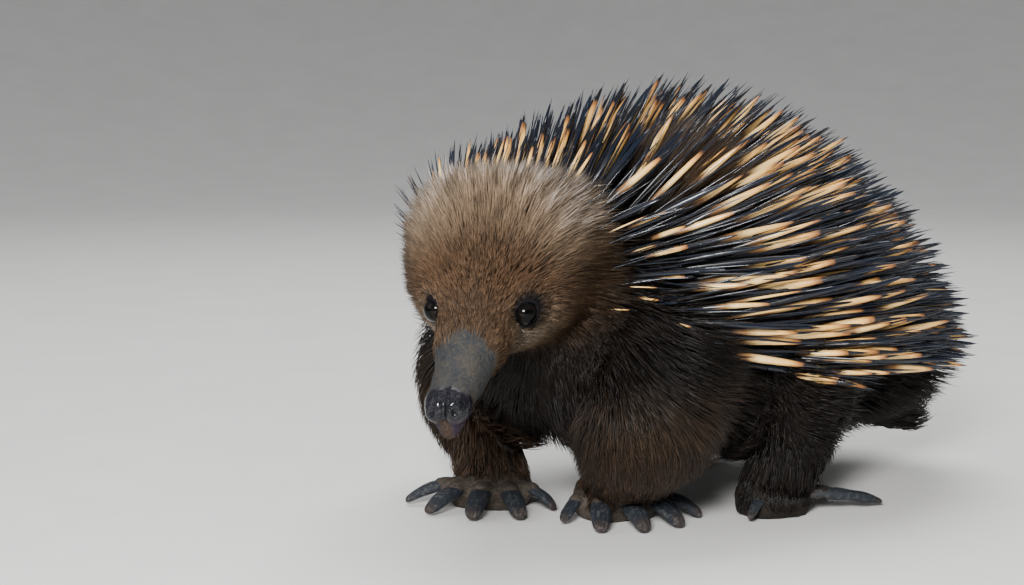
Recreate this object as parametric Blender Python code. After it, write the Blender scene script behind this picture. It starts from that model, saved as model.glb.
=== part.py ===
"""A short-beaked echidna, life size, as a still model: the solids run out to the tips of the coat.

The animal faces -Y with its left side at +X, and its head turns to its left. Units are metres, +Z is up
and the floor is at z = 0. The trunk is one run of cross-sections, and the neck, head and beak are another
that starts inside it. Both are parted by thin cuts, and the other solids meet them across narrow gaps.
"""
import math

import bmesh
import bpy
from mathutils import Vector

# Fit and floor
GAP = 0.0003                    # clear space between neighbouring solids
CLEARANCE = 0.0004              # how much larger a cutter is than the solid it makes room for
FLOOR_BLOCK = 0.6               # side of the block that trims the soles flat at z = 0
POLE = 0.0004                   # a section narrower than this closes in a point

# Trunk, out to the tips of the spines
REAR_LENGTH = 0.130             # from the middle of the trunk to the rump
FRONT_LENGTH = 0.112            # and to the chest
TRUNK_MIDDLE_Y = 0.008
TRUNK_HALF_WIDTH = 0.088
TRUNK_TOP = 0.1685              # height of the highest spine tips
TRUNK_BELLY = 0.016             # height of the belly fur
CORE_HEIGHT = 0.068             # height of the widest line at mid-trunk
CORE_RISE_FRONT = 0.018         # how much higher that line is at the front end
CORE_DROP_REAR = 0.016          # how much lower it is at the rear end
BEND_RADIUS = 0.58              # the back curves to the left along this arc
WIDTH_POWERS = (2.3, 2.0)       # how bluntly the sides close towards the front and the rear
TOP_POWERS = (2.2, 1.5)
BELLY_POWER = 2.6
REAR_STEPS = 8
FRONT_STEPS = 7
REAR_CUT = 7                    # section that parts the front of the trunk from the rear
BODY_SIDES = 28
BODY_STEPS = 2                  # rings for each section
ROUNDNESS = 2.1                 # 2 is an ellipse, more is squarer

# Neck, from inside the trunk: middle, yaw and pitch in degrees, half width, rise and drop
NECK_STATIONS = (
    ((0.002, -0.050, 0.092), 20, 6, 0.066, 0.060, 0.056),
    ((0.009, -0.077, 0.098), 29, 16, 0.065, 0.053, 0.054),
)

# Head: sizes along a line through the point between the eyes
EYE_MIDPOINT = Vector((0.0492, -0.1262, 0.0871))
HEAD_YAW = math.radians(42.5)           # turned to the left of straight ahead
HEAD_PITCH = math.radians(31.5)         # nose down
HEAD_STATIONS = (                       # ahead of the eyes, half width, rise, drop
    (-0.036, 0.0405, 0.0430, 0.0360),
    (-0.024, 0.0370, 0.0365, 0.0320),
    (-0.011, 0.0295, 0.0260, 0.0260),
    (0.000, 0.0176, 0.0165, 0.0175),
    (0.008, 0.0142, 0.0125, 0.0138),
    (0.015, 0.0122, 0.0108, 0.0114),
)
BEAK_STATIONS = (
    (0.024, 0.0102, 0.0088, 0.0096),
    (0.034, 0.0084, 0.0070, 0.0080),
    (0.041, 0.0076, 0.0063, 0.0071),
    (0.047, 0.0078, 0.0066, 0.0070),
    (0.0510, 0.0066, 0.0056, 0.0058),
    (0.0532, 0.0036, 0.0030, 0.0030),
    (0.0540, 0.0000, 0.0000, 0.0000),
)
BEAK_SIDES = 20
JAW_SIDES = 14
BEAK_SAG = 0.0025               # the beak's middle line lies this far below the eyes
MOUTH_DROP = 0.0036             # the cut between beak and lower jaw, below the middle line
JAW_OVERHANG = 0.0015           # the lower lip at the tip stands below the nose by this much
JAW_STATIONS = (                # ahead of the eyes, half width, depth
    (0.0165, 0.0095, 0.0064),
    (0.027, 0.0074, 0.0052),
    (0.039, 0.0054, 0.0044),
    (0.047, 0.0046, 0.0050),
    (0.0520, 0.0034, 0.0052),
    (0.0540, 0.0018, 0.0038),
)

# Eyes
EYE_HALF_SPACING = 0.0157
EYE_RADIUS = 0.0045
EYE_SEGMENTS = 16
EYE_RINGS = 10

# Feet: where the soles stand, which way they point in degrees, the side of the body, and how far the
# toes are spread
FEET = {
    "forefoot_left": (Vector((0.019, -0.047, 0.0)), 76, 1, 0.7),
    "forefoot_right": (Vector((-0.023, -0.075, 0.0)), 40, -1, 1.0),
    "hindfoot_left": (Vector((0.051, 0.005, 0.0)), 176, 1, 1.0),
    "hindfoot_right": (Vector((-0.052, 0.034, 0.0)), -165, -1, 1.0),
}
FORE_PAW = (0.030, 0.0165, 0.017)       # length, half width and height
HIND_PAW = (0.024, 0.0135, 0.015)
PAW_SIDES = 14
PAW_CORE = 0.004                # height of the paw's middle line
SOLE_SINK = 0.0035              # how far the untrimmed paw reaches below the floor
PAW_SHAPE = (                   # place along the paw, width and height, as shares of its size
    (-0.50, 0.40, 0.60),
    (-0.42, 0.72, 0.90),
    (-0.15, 0.92, 1.00),
    (0.18, 1.00, 0.86),
    (0.40, 0.84, 0.62),
    (0.50, 0.50, 0.40),
)

# Claws of a forefoot and a hind foot, from the innermost out: place along and across the paw as shares
# of its half length and half width, fan in degrees, length and half width
FORE_CLAWS = (
    (0.42, 1.06, 66, 0.012, 0.0030),
    (0.84, 0.62, 30, 0.021, 0.0042),
    (1.00, 0.04, 6, 0.022, 0.0044),
    (0.88, -0.54, -20, 0.021, 0.0042),
    (0.52, -0.98, -62, 0.017, 0.0036),
)
HIND_CLAWS = (
    (-0.80, 0.50, 150, 0.010, 0.0022),
    (0.88, 0.58, 8, 0.034, 0.0035),
    (1.00, -0.02, -8, 0.026, 0.0029),
    (0.84, -0.54, -28, 0.017, 0.0025),
    (0.58, -0.94, -54, 0.012, 0.0021),
)
CLAW_SIDES = 10
CLAW_ROOT = 0.003               # how far a claw starts inside the paw
CLAW_TIP_HEIGHT = 0.0022
CLAW_ROOT_HEIGHT = 0.0080
CLAW_ARCH = 0.0016              # how far a claw bows up at its middle
CLAW_FLATNESS = 0.70            # thickness as a share of breadth
CLAW_SHAPE = (                  # place along the claw and its breadth there
    (0.00, 0.72),
    (0.28, 1.00),
    (0.64, 1.00),
    (0.86, 0.88),
    (0.97, 0.62),
    (1.00, 0.30),
)

# Legs, from inside the trunk down to the paw: the way the leg's breadth runs in degrees, then its path
# with the half width and the reach to the front and the back at each point. The left foreleg is the
# full, furry one that hides its own forearm.
LEGS = {
    "foreleg_left": (57, (
        ((0.046, -0.053, 0.078), 0.028, 0.022, 0.024),
        ((0.061, -0.061, 0.064), 0.031, 0.022, 0.022),
        ((0.062, -0.062, 0.047), 0.032, 0.021, 0.026),
        ((0.054, -0.058, 0.033), 0.028, 0.018, 0.026),
        ((0.044, -0.055, 0.022), 0.021, 0.012, 0.020),
        ((0.034, -0.052, 0.013), 0.013, 0.009, 0.012),
    )),
    "foreleg_right": (-30, (
        ((-0.045, -0.052, 0.075), 0.026, 0.022, 0.022),
        ((-0.056, -0.066, 0.055), 0.027, 0.023, 0.022),
        ((-0.046, -0.070, 0.034), 0.023, 0.021, 0.020),
        ((-0.027, -0.071, 0.015), 0.015, 0.013, 0.012),
    )),
    "hindleg_left": (70, (
        ((0.050, 0.016, 0.060), 0.024, 0.020, 0.022),
        ((0.057, 0.014, 0.038), 0.023, 0.018, 0.022),
        ((0.054, 0.010, 0.020), 0.017, 0.013, 0.016),
        ((0.051, 0.007, 0.012), 0.012, 0.009, 0.010),
    )),
    "hindleg_right": (-70, (
        ((-0.048, 0.042, 0.060), 0.024, 0.020, 0.022),
        ((-0.057, 0.042, 0.038), 0.023, 0.018, 0.022),
        ((-0.055, 0.038, 0.020), 0.017, 0.013, 0.016),
        ((-0.052, 0.035, 0.012), 0.012, 0.009, 0.010),
    )),
}
LIMB_SIDES = 16
LIMB_STEPS = 2

# Tail
TAIL_LENGTH = 0.018
TAIL_RADIUS = 0.008
TAIL_ROOT = (-0.004, -0.028, -0.027)    # from the rear tip of the trunk
TAIL_DROP = math.radians(18)
TAIL_SHAPE = ((0.0, 1.0), (0.45, 0.9), (0.8, 0.62), (1.0, 0.25))    # thickness along the tail

UP = Vector((0.0, 0.0, 1.0))

COLOURS = {                     # base colour and roughness
    "coat": ((0.050, 0.033, 0.022), 0.8),
    "spines": ((0.300, 0.210, 0.110), 0.5),
    "skin": ((0.100, 0.075, 0.060), 0.7),
    "beak_skin": ((0.110, 0.095, 0.080), 0.6),
    "paw_skin": ((0.120, 0.095, 0.075), 0.7),
    "claw": ((0.030, 0.036, 0.045), 0.35),
    "eye": ((0.005, 0.005, 0.006), 0.05),
}


def clear_scene():
    for item in list(bpy.data.objects):
        bpy.data.objects.remove(item, do_unlink=True)


def new_collection(name):
    collection = bpy.data.collections.new(name)
    bpy.context.scene.collection.children.link(collection)
    return collection


def material(name):
    """One Principled material for each finish in the table, made on first use."""
    found = bpy.data.materials.get(name)
    if found:
        return found
    colour, roughness = COLOURS[name]
    made = bpy.data.materials.new(name)
    made.use_nodes = True
    shader = made.node_tree.nodes["Principled BSDF"]
    shader.inputs["Base Color"].default_value = (*colour, 1.0)
    shader.inputs["Roughness"].default_value = roughness
    return made


def heading(yaw, pitch=0.0):
    """The way a section faces: yaw turns from -Y towards +X, pitch dips below the horizon."""
    level = math.cos(pitch)
    return Vector((math.sin(yaw) * level, -math.cos(yaw) * level, -math.sin(pitch)))


def side_of(yaw):
    """The level direction to the left of a heading."""
    return Vector((math.cos(yaw), math.sin(yaw), 0.0))


def section(centre, forward, across, half_width, rise, drop):
    """A cross-section as one flat row of numbers, so that two of them can be blended."""
    return [*centre, *forward, *across, half_width, rise, drop]


def blended(sections, place):
    """The section at a place along the run, on a smooth curve through its neighbours."""
    last = len(sections) - 1
    index = min(int(place), last - 1)
    t = place - index
    before = sections[max(index - 1, 0)]
    after = sections[min(index + 2, last)]
    row = []
    for a, b, c, d in zip(before, sections[index], sections[index + 1], after):
        slope_in = (c - a) / 2
        slope_out = (d - b) / 2
        cubic = 2 * (b - c) + slope_in + slope_out
        square = 3 * (c - b) - 2 * slope_in - slope_out
        row.append(((cubic * t + square) * t + slope_in) * t + b)
    row[9:] = [max(value, 0.0) for value in row[9:]]
    return row


def ring_points(row, sides, grow=0.0, shift=0.0, roundness=ROUNDNESS):
    """The points round one section, made larger by grow and moved along its heading by shift."""
    forward = Vector(row[3:6]).normalized()
    across = Vector(row[6:9]).normalized()
    lift = forward.cross(across).normalized()
    centre = Vector(row[0:3]) + forward * shift
    half_width, rise, drop = (value + grow for value in row[9:])
    points = []
    for index in range(sides):
        angle = 2 * math.pi * index / sides
        cosine, sine = math.cos(angle), math.sin(angle)
        sideways = math.copysign(abs(cosine) ** (2 / roundness), cosine) * half_width
        upwards = math.copysign(abs(sine) ** (2 / roundness), sine) * (rise if sine > 0 else drop)
        points.append(centre + across * sideways + lift * upwards)
    return points


def loft(name, sections, sides, finish, steps=2, first=0.0, last=None, grow=0.0, inset=0.0):
    """A closed solid through the sections from place first to place last.

    grow makes it larger all round, for a cutter, and inset draws its two ends in.
    """
    last = len(sections) - 1 if last is None else last
    count = round((last - first) * steps)
    mesh = bmesh.new()
    rings = []
    for index in range(count + 1):
        row = blended(sections, first + (last - first) * index / count)
        shift = 0.0
        if index == 0:
            shift = inset - grow
        if index == count:
            shift = grow - inset
        if max(row[9:]) < POLE:
            forward = Vector(row[3:6]).normalized()
            rings.append([mesh.verts.new(Vector(row[0:3]) + forward * shift)])
        else:
            rings.append([mesh.verts.new(point) for point in ring_points(row, sides, grow, shift)])
    for near, far in zip(rings, rings[1:]):
        bridge(mesh, near, far)
    cap(mesh, rings[0], closing=False)
    cap(mesh, rings[-1], closing=True)
    bmesh.ops.recalc_face_normals(mesh, faces=mesh.faces)
    return as_object(name, mesh, finish)


def bridge(mesh, near, far):
    """Faces between two rings, either of which may be a single point."""
    sides = max(len(near), len(far))
    for index in range(sides):
        other = (index + 1) % sides
        corners = [near[index % len(near)], near[other % len(near)]]
        corners += [far[other % len(far)], far[index % len(far)]]
        mesh.faces.new(list(dict.fromkeys(corners)))


def cap(mesh, ring, closing):
    """A flat end as a fan round its middle point."""
    if len(ring) == 1:
        return
    middle = mesh.verts.new(sum((vert.co for vert in ring), Vector()) / len(ring))
    for index, vert in enumerate(ring):
        following = ring[(index + 1) % len(ring)]
        mesh.faces.new((vert, following, middle) if closing else (following, vert, middle))


def as_object(name, mesh, finish):
    data = bpy.data.meshes.new(name)
    mesh.to_mesh(data)
    mesh.free()
    data.shade_smooth()
    data.materials.append(material(finish))
    made = bpy.data.objects.new(name, data)
    PARTS.objects.link(made)
    return made


def make_cutter(item):
    """Move an object to the cutters, where it shapes others and isn't part of the model."""
    PARTS.objects.unlink(item)
    CUTTERS.objects.link(item)
    item.hide_render = True
    item.display_type = "WIRE"
    return item


def cut(item, cutter):
    difference = item.modifiers.new("Clear of " + cutter.name, "BOOLEAN")
    difference.operation = "DIFFERENCE"
    difference.solver = "EXACT"
    difference.object = cutter


def closing(share, power):
    """How far a half-section reaches at a share of the way from the middle to an end."""
    return max(1.0 - abs(share) ** power, 0.0) ** (1.0 / power)


def trunk_section(share):
    """The trunk at share 1, its rear tip, down to 0 at the middle and -1 at its front end."""
    along = share * (REAR_LENGTH if share > 0 else FRONT_LENGTH)
    turn = along / BEND_RADIUS
    core = CORE_HEIGHT - CORE_DROP_REAR * share ** 2
    if share < 0:
        core = CORE_HEIGHT + CORE_RISE_FRONT * share ** 2
    centre = Vector((
        BEND_RADIUS * (1 - math.cos(turn)),
        TRUNK_MIDDLE_Y + BEND_RADIUS * math.sin(turn),
        core,
    ))
    rear = int(share > 0)
    half_width = TRUNK_HALF_WIDTH * closing(share, WIDTH_POWERS[rear])
    rise = (TRUNK_TOP - CORE_HEIGHT) * closing(share, TOP_POWERS[rear])
    drop = (core - TRUNK_BELLY) * closing(share, BELLY_POWER)
    return section(centre, heading(-turn), side_of(-turn), half_width, rise, drop)


def head_section(ahead, half_width, rise, drop):
    forward = heading(HEAD_YAW, HEAD_PITCH)
    across = side_of(HEAD_YAW)
    middle = EYE_MIDPOINT + forward * ahead - forward.cross(across) * BEAK_SAG
    return section(middle, forward, across, half_width, rise, drop)


def trunk_sections():
    """The whole trunk from the rump to the chest, closer together towards its two ends."""
    rear = [math.sin(math.pi / 2 * step / REAR_STEPS) for step in range(REAR_STEPS, 0, -1)]
    front = [-math.sin(math.pi / 2 * step / FRONT_STEPS) for step in range(FRONT_STEPS + 1)]
    return [trunk_section(share) for share in rear + front]


def head_sections():
    """Neck, head and beak in one run, and the places where the head and the beak begin."""
    rows = []
    for centre, yaw, pitch, half_width, rise, drop in NECK_STATIONS:
        yaw, pitch = math.radians(yaw), math.radians(pitch)
        rows.append(section(centre, heading(yaw, pitch), side_of(yaw), half_width, rise, drop))
    nape = len(rows)
    rows += [head_section(*station) for station in HEAD_STATIONS]
    face = len(rows) - 1
    rows += [head_section(*station) for station in BEAK_STATIONS]
    return rows, nape, face


def make_body():
    """Trunk, neck, head and beak, and the two cutters that keep everything else clear of them."""
    trunk = trunk_sections()
    rows, nape, face = head_sections()
    inset = GAP / 2
    pieces = {}
    for name, run, first, last, sides, finish in (
        ("trunk_rear", trunk, 0, REAR_CUT, BODY_SIDES, "spines"),
        ("trunk_front", trunk, REAR_CUT, len(trunk) - 1, BODY_SIDES, "spines"),
        ("neck", rows, 0, nape, BODY_SIDES, "coat"),
        ("head", rows, nape, face, BODY_SIDES, "coat"),
        ("beak", rows, face, len(rows) - 1, BEAK_SIDES, "beak_skin"),
    ):
        steps = 1 if name == "beak" else BODY_STEPS
        pieces[name] = loft(name, run, sides, finish, steps, first, last, inset=inset)
    trunk_room = loft("room for the trunk", trunk, BODY_SIDES, "coat", BODY_STEPS, grow=CLEARANCE)
    neck_room = loft("room for the neck", rows, BODY_SIDES, "coat", BODY_STEPS, 0, face, CLEARANCE)
    cut(pieces["neck"], make_cutter(trunk_room))
    cut(pieces["head"], trunk_room)
    return pieces, [trunk_room, make_cutter(neck_room)]


def make_jaw(beak):
    """The lower jaw: a slip of the beak's own underside, and the small lip that shows below the nose."""
    forward = heading(HEAD_YAW, HEAD_PITCH)
    across = side_of(HEAD_YAW)
    lift = forward.cross(across)
    base = EYE_MIDPOINT - lift * (BEAK_SAG + MOUTH_DROP)
    rows = []
    for ahead, half_width, depth in JAW_STATIONS:
        centre = base + forward * ahead - lift * (depth / 2)
        rows.append(section(centre, forward, across, half_width, depth / 2, depth / 2 + JAW_OVERHANG))
    jaw = loft("lower_jaw", rows, JAW_SIDES, "beak_skin", 1)
    room = make_cutter(loft("room for the jaw", rows, JAW_SIDES, "beak_skin", 1, grow=CLEARANCE))
    cut(beak, room)
    return jaw


def ball(name, centre, radius, finish):
    mesh = bmesh.new()
    bmesh.ops.create_uvsphere(mesh, u_segments=EYE_SEGMENTS, v_segments=EYE_RINGS, radius=radius)
    bmesh.ops.translate(mesh, verts=mesh.verts, vec=centre)
    return as_object(name, mesh, finish)


def make_eyes(head):
    for name, side in (("eye_left", 1), ("eye_right", -1)):
        centre = EYE_MIDPOINT + side_of(HEAD_YAW) * EYE_HALF_SPACING * side
        ball(name, centre, EYE_RADIUS, "eye")
        cut(head, make_cutter(ball("room for " + name, centre, EYE_RADIUS + CLEARANCE, "eye")))


def claw_sections(foot, yaw, side, spread, paw, claw):
    """A claw that springs from the front of the paw, bows up a little and comes down to its tip."""
    ahead, place, fan, length, half_width = claw
    paw_length, paw_half_width, _ = paw
    turned = yaw - side * math.radians(fan * spread)
    outward = heading(turned)
    toe = foot + heading(yaw) * ahead * paw_length / 2 - side_of(yaw) * side * place * paw_half_width
    root = toe - outward * CLAW_ROOT
    rows = []
    for share, breadth in CLAW_SHAPE:
        height = CLAW_ROOT_HEIGHT + (CLAW_TIP_HEIGHT - CLAW_ROOT_HEIGHT) * share
        height += CLAW_ARCH * math.sin(math.pi * share)
        centre = root + outward * (length + CLAW_ROOT) * share + UP * height
        thickness = half_width * breadth * CLAW_FLATNESS
        rows.append(section(centre, outward, side_of(turned), half_width * breadth, thickness, thickness))
    return rows


def paw_sections(foot, yaw, paw):
    length, half_width, height = paw
    forward = heading(yaw)
    rows = []
    for ahead, width, tall in PAW_SHAPE:
        centre = foot + forward * ahead * length + UP * PAW_CORE
        rise = height * tall - PAW_CORE
        rows.append(section(centre, forward, side_of(yaw), half_width * width, rise, PAW_CORE + SOLE_SINK))
    return rows


def make_foot(name, body_rooms):
    """A paw with a flat sole and its five claws, each in a socket of its own."""
    foot, degrees, side, spread = FEET[name]
    yaw = math.radians(degrees)
    size, claws = (FORE_PAW, FORE_CLAWS) if name.startswith("fore") else (HIND_PAW, HIND_CLAWS)
    rows = paw_sections(foot, yaw, size)
    paw = loft(name, rows, PAW_SIDES, "paw_skin", steps=1)
    cut(paw, FLOOR)
    for room in body_rooms:
        cut(paw, room)
    rooms = [make_cutter(loft("room for " + name, rows, PAW_SIDES, "paw_skin", 1, grow=CLEARANCE))]
    for number, claw in enumerate(claws, 1):
        shape = claw_sections(foot, yaw, side, spread, size, claw)
        label = f"claw_{name}_{number}"
        loft(label, shape, CLAW_SIDES, "claw", steps=1)
        room = make_cutter(loft("room for " + label, shape, CLAW_SIDES, "claw", 1, grow=CLEARANCE))
        cut(paw, room)
        rooms.append(room)
    return rooms


def limb(name, path, degrees, rooms):
    """A leg as a smooth run of sections down its path, cut clear of the body and the paw."""
    across = side_of(math.radians(degrees))
    points = [Vector(point) for point, *_ in path]
    rows = []
    for index, (point, half_width, front, back) in enumerate(path):
        ahead = points[min(index + 1, len(points) - 1)] - points[max(index - 1, 0)]
        rows.append(section(point, ahead.normalized(), across, half_width, front, back))
    leg = loft(name, rows, LIMB_SIDES, "coat", LIMB_STEPS)
    for room in rooms:
        cut(leg, room)


def make_tail(body_rooms):
    """The stub of a tail, low on the rump under the spines."""
    tip = trunk_section(1.0)
    root = Vector(tip[0:3]) + Vector(TAIL_ROOT)
    yaw = math.pi - REAR_LENGTH / BEND_RADIUS
    backward = heading(yaw, TAIL_DROP)
    rows = []
    for share, thickness in TAIL_SHAPE:
        centre = root + backward * TAIL_LENGTH * share
        radius = TAIL_RADIUS * thickness
        rows.append(section(centre, backward, side_of(yaw), radius, radius, radius))
    cut(loft("tail", rows, PAW_SIDES, "skin"), body_rooms[0])


def make_floor_cutter():
    """A block whose top face is the floor."""
    mesh = bmesh.new()
    bmesh.ops.create_cube(mesh, size=FLOOR_BLOCK)
    bmesh.ops.translate(mesh, verts=mesh.verts, vec=-UP * FLOOR_BLOCK / 2)
    return make_cutter(as_object("floor", mesh, "coat"))


def centre_on_origin():
    """Move everything level, so that the middle of the whole box stands over the origin."""
    depsgraph = bpy.context.evaluated_depsgraph_get()
    points = []
    for item in PARTS.objects:
        points += [item.matrix_world @ vert.co for vert in item.evaluated_get(depsgraph).data.vertices]
    middle = Vector((0.0, 0.0, 0.0))
    for axis in (0, 1):
        values = [point[axis] for point in points]
        middle[axis] = (min(values) + max(values)) / 2
    stand = bpy.data.objects.new("echidna", None)
    PARTS.objects.link(stand)
    for item in [*PARTS.objects, *CUTTERS.objects]:
        if item is not stand:
            item.parent = stand
    stand.location = -middle
    bpy.context.view_layer.update()


def main():
    pieces, body_rooms = make_body()
    make_jaw(pieces["beak"])
    make_eyes(pieces["head"])
    for foot in FEET:
        foot_rooms = make_foot(foot, body_rooms)
        leg = foot.replace("foot", "leg")
        degrees, path = LEGS[leg]
        limb(leg, path, degrees, [*body_rooms, *foot_rooms])
    make_tail(body_rooms)
    centre_on_origin()


clear_scene()
PARTS = new_collection("echidna")
CUTTERS = new_collection("cutters")
FLOOR = make_floor_cutter()
main()
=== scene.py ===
"""The looks of a life-size short-beaked echidna: one skin, eyes, claws, fur and spines round its solids.

Units are metres, +Z is up and the floor is at z = 0. The animal faces -Y with its left side at +X, and
its head turns to its left. Every hair and spine is a thin closed solid that grows from the skin, lies
along the coat and ends at the outline that the solids give.
"""
import math

import bmesh
import bpy
import numpy as np
from mathutils import Matrix, Vector
from mathutils.bvhtree import BVHTree
from mathutils.kdtree import KDTree


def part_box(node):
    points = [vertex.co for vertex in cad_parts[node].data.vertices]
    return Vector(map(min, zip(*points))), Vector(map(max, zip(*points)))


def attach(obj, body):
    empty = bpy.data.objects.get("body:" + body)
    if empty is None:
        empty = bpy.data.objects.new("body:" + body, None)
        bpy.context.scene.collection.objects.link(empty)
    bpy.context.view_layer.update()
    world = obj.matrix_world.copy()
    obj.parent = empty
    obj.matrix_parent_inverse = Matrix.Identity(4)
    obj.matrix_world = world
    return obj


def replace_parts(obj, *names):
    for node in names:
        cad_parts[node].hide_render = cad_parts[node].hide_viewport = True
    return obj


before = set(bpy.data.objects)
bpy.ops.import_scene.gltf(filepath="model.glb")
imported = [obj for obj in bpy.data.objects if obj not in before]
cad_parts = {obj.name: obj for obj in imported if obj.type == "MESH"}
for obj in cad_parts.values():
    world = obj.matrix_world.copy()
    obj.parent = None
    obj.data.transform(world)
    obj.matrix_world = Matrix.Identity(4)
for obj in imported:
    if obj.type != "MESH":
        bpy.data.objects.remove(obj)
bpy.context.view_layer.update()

SEED = 11
BODY = "root"
MERGE = 1e-5                    # corners of a solid that lie closer than this are one
WAVES = 4                       # sine waves in each part of a smooth noise

# Camera and light
CAMERA_AZIMUTH = 57.0
CAMERA_ELEVATION = 6.5
CAMERA_DISTANCE = 0.80
CAMERA_AIM = (-0.0372, -0.0450, 0.0810)
CAMERA_LENS = 70.0
SENSOR_WIDTH = 36.0
LIGHTS = (                      # name, azimuth, elevation, distance, power in watts and side
    ("key", 50, 21, 1.1, 21.0, 0.24),
    ("fill", 350, 30, 1.5, 4.0, 0.9),
    ("top", 230, 68, 1.4, 19.0, 1.0),
)
SKY = (0.86, 0.88, 0.92, 1.0)
SKY_LIGHT = 0.34
FLOOR_SIZE = 6.0
FLOOR_CUTS = 80
FLOOR_FLAT = 1.6                # the floor is flat this far round the animal, then curves up
FLOOR_CURVE = 0.22

# Head: a line through the point between the eyes, and the way the head faces
HEAD_YAW = math.radians(42.5)
HEAD_PITCH = math.radians(31.5)
BEAK_SAG = 0.0025               # the beak's middle line lies this far below the eyes
BARE_FROM = 0.0220              # the beak is bare from this far ahead of the eyes
NOSE_FROM = 0.0455              # its dark, damp tip starts here
BEAK_END = 0.0540
MOUTH_UP = -0.0036              # the mouth's slit, from the beak's middle line
EYE_LOOK = (0.76, 0.62, 0.18)   # the way an eye looks: ahead, outwards and up
IRIS_BULGE = 0.05               # share of its radius that an eye stands out at the iris

# Eyelids, in eye radii from the eye's axis
LID_ENDS = (1.25, 2.10)
LID_HEIGHT = 0.36
LID_MIDDLE = 0.98
LID_WIDTH = 0.34
LID_OPENING = (0.86, 1.06)
FOLD_HEIGHT = 0.065
FOLD_SPACING = 0.24

# Nose: the middle and half width of each lobe and nostril, aside and up, and how far it moves the skin
LOBE = ((0.0040, 0.0028), (0.0014, 0.0034), 0.0018)
NOSTRIL = ((0.0036, 0.0009), (0.0022, 0.0016), -0.0016)

# Trunk: the middle of its bent core, as in the solids
TRUNK_MIDDLE_Y = 0.020
TRUNK_REAR = 0.130
TRUNK_FRONT = 0.112
TAIL_FROM = 0.100               # the tail's coat starts this far back
CORE_HEIGHT = 0.068
BEND_RADIUS = 0.58

# Skin
ROUGH_VOXEL = 0.0030            # for the body before its coat is taken off
SKIN_VOXEL = 0.0017
OUTLINE_VOXEL = 0.0025
FLOW_VOXEL = 0.0060             # for working out the way the coat lies
OVERLAP = 0.0004                # solids are grown by this to close the gaps between them
TRUNK_COAT = 0.033              # depth of the coat on the back and sides
BELLY_COAT = 0.012
HEAD_COAT = (                   # distance ahead of the eyes, and the coat's depth there
    (-0.080, 0.0270), (-0.036, 0.0150), (-0.024, 0.0115), (-0.011, 0.0055),
    (0.000, 0.0022), (0.010, 0.0012), (0.0165, 0.0004),
)
FACE_FROM = (-0.016, -0.010)    # the skin is made finer from here ahead, once and again

# Legs under the fur, from inside the trunk to the paw: offset from the paw's middle, height, radius
LEG_FLESH = {
    "foreleg_left": (
        (0.008, 0.004, 0.080, 0.0220),
        (0.034, -0.008, 0.070, 0.0200),
        (0.041, -0.013, 0.050, 0.0190),
        (0.034, -0.011, 0.034, 0.0160),
        (0.020, -0.007, 0.021, 0.0120),
        (0.006, 0.000, 0.012, 0.0100),
    ),
    "foreleg_right": (
        (-0.010, 0.035, 0.080, 0.0210),
        (-0.027, 0.017, 0.068, 0.0190),
        (-0.030, 0.009, 0.052, 0.0175),
        (-0.022, 0.005, 0.034, 0.0145),
        (-0.008, 0.004, 0.018, 0.0115),
        (0.000, 0.002, 0.011, 0.0100),
    ),
    "hindleg_left": (
        (-0.012, 0.012, 0.066, 0.0240),
        (0.001, 0.010, 0.050, 0.0210),
        (0.003, 0.008, 0.036, 0.0160),
        (0.002, 0.004, 0.022, 0.0120),
        (0.000, 0.001, 0.011, 0.0095),
    ),
    "hindleg_right": (
        (0.012, 0.008, 0.066, 0.0240),
        (-0.001, 0.008, 0.050, 0.0210),
        (-0.003, 0.007, 0.036, 0.0160),
        (-0.002, 0.003, 0.022, 0.0120),
        (0.000, 0.001, 0.011, 0.0095),
    ),
}
BEADS = 22                      # balls along each leg, which the skin runs over
TAIL_FLESH = (                  # from inside the rump to the tail: offset from the tail's middle, radius
    (-0.003, -0.048, 0.024, 0.020),
    (-0.001, -0.024, 0.012, 0.013),
    (0.000, -0.004, 0.001, 0.007),
)

FLESH_NODES = ["trunk_rear", "trunk_front", "neck", "head"]
BARE_NODES = ["beak", "lower_jaw"]
FEET = ["forefoot_left", "forefoot_right", "hindfoot_left", "hindfoot_right"]
LEGS = list(LEG_FLESH)
SKIN_NODES = [*FLESH_NODES, *BARE_NODES, "tail", *FEET, *LEGS]
TOES = 5
TOE_SHARES = np.linspace(0.35, 1.0, 7)  # places of a toe's balls from its paw to its claw's root
TOE_FLESH = 0.0011              # skin over the root of each claw
CLAW_ROOT = 0.22                # share of the claw that counts as its root
TOE_OVER_CLAW = (0.08, 0.15, 0.22, 0.29)        # shares of the claw that the toe's balls reach over
CLAW_RING = 10                  # corners of a claw that give its middle and thickness at one place

# Coat
PATCH = 0.003                   # side of a hair's patch on the baking map
HEAD_MAP_FROM = -0.075          # the head's part of that map starts this far behind the eyes
HEAD_MAP_REACH = 0.085          # and goes this far round them
PIECE_TRIANGLES = 190000
ENVELOPE_MARGIN = 0.0008        # how far hairs may pass the solids' outline
FLOOR_GAP = 0.0003              # no hair comes closer to the floor
ON_LEG = (0.002, 0.007)         # within this of a leg's flesh the coat is the leg's own
LEG_COAT_TOP = np.array([0.044, 0.044, 0.024, 0.024])   # hair falls down each leg below this height
LEG_COAT_BLEND = 0.013
LEG_SWEEP = np.array([0.7, 0.25, 0.5, 0.5])     # how far the hair behind each leg turns to the rear
LEG_BARE = {"foreleg_left": 0.008, "foreleg_right": 0.013}      # paw fur starts at this height
HIND_BARE = 0.003
NAPE_SPINES = (0.053, 0.048)    # stout spines start this far from the eyes, at the cheeks and on top
SHOULDER_SPINES = (0.040, 0.043)        # and thin ones
CROWN_END = (0.044, 0.051)      # and the crown's fur ends this far from them
TUFT = (0.030, -0.024, 0.121)   # middle of the tuft of brown fur among the spines of the left shoulder

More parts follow.
